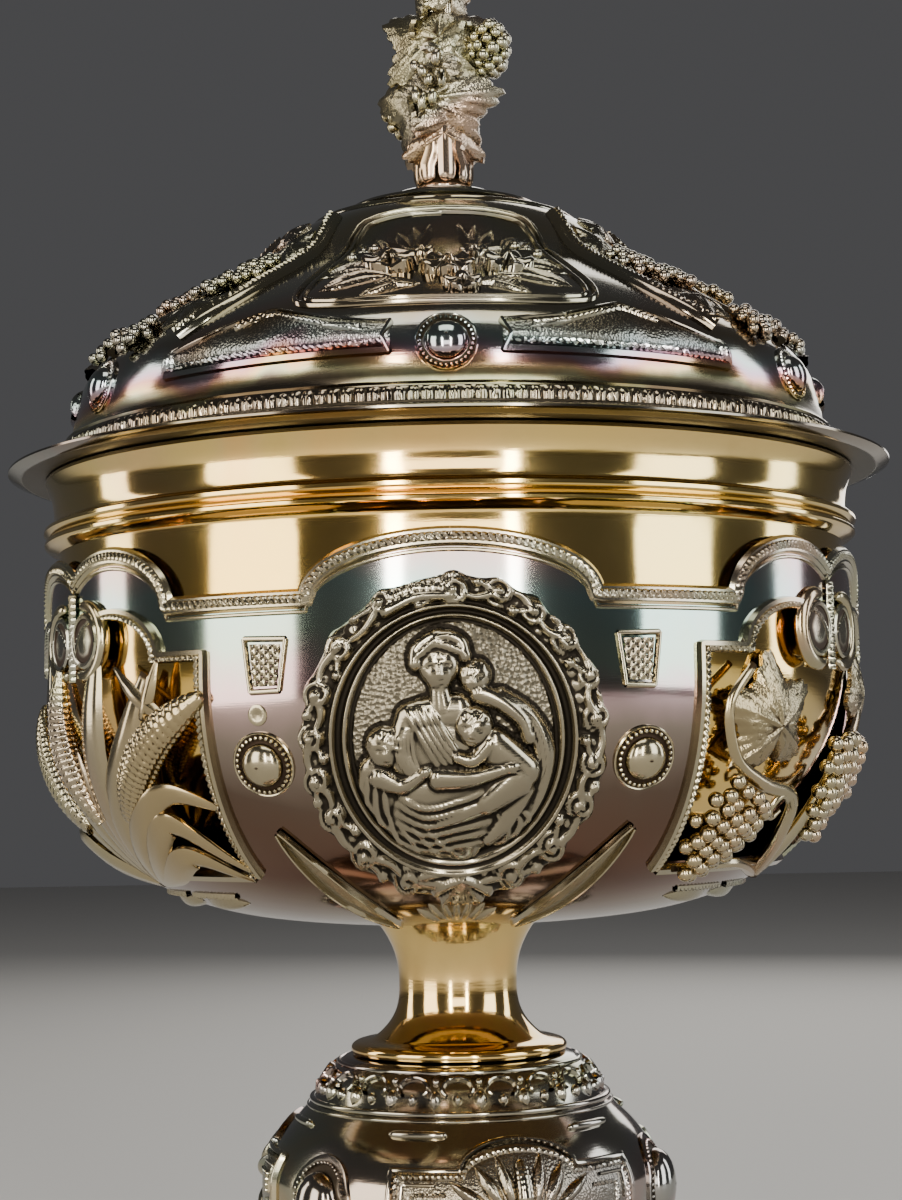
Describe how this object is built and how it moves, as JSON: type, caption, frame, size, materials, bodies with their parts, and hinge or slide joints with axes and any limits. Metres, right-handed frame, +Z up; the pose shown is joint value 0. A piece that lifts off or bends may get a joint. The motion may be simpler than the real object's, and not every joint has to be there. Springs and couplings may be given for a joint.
{
  "type": "covered ciborium",
  "caption": "Tall covered cup with a gilt bowl in a pierced silver calyx of vines and wheat, oval figure plaques, a knopped stem, a domed foot and a lift-off domed lid with a leafy finial.",
  "frame": {"origin": "centre of the foot's underside, on the surface that the piece stands on", "axes": "+Z up the axis of the stem; -Y towards the front plaque; +X to the right of the front"},
  "size_m": [0.14, 0.14, 0.2965],
  "materials": {
    "silver": "chased silver, polished on the high spots, with iridescent tarnish and dark recesses",
    "gilt": "polished gilding over silver, slightly worn",
    "dark_silver": "oxidised silver relief on a stippled ground"
  },
  "bodies": {
    "root": {"foot": "silver", "lower_stem": "gilt", "knop": "silver", "upper_stem": "gilt", "openwork_cup": "silver", "inner_cup": "gilt", "plaque_front": "dark_silver", "plaque_right": "dark_silver", "plaque_left": "dark_silver", "lid": "silver", "finial": "silver"}
  },
  "joints": []
}
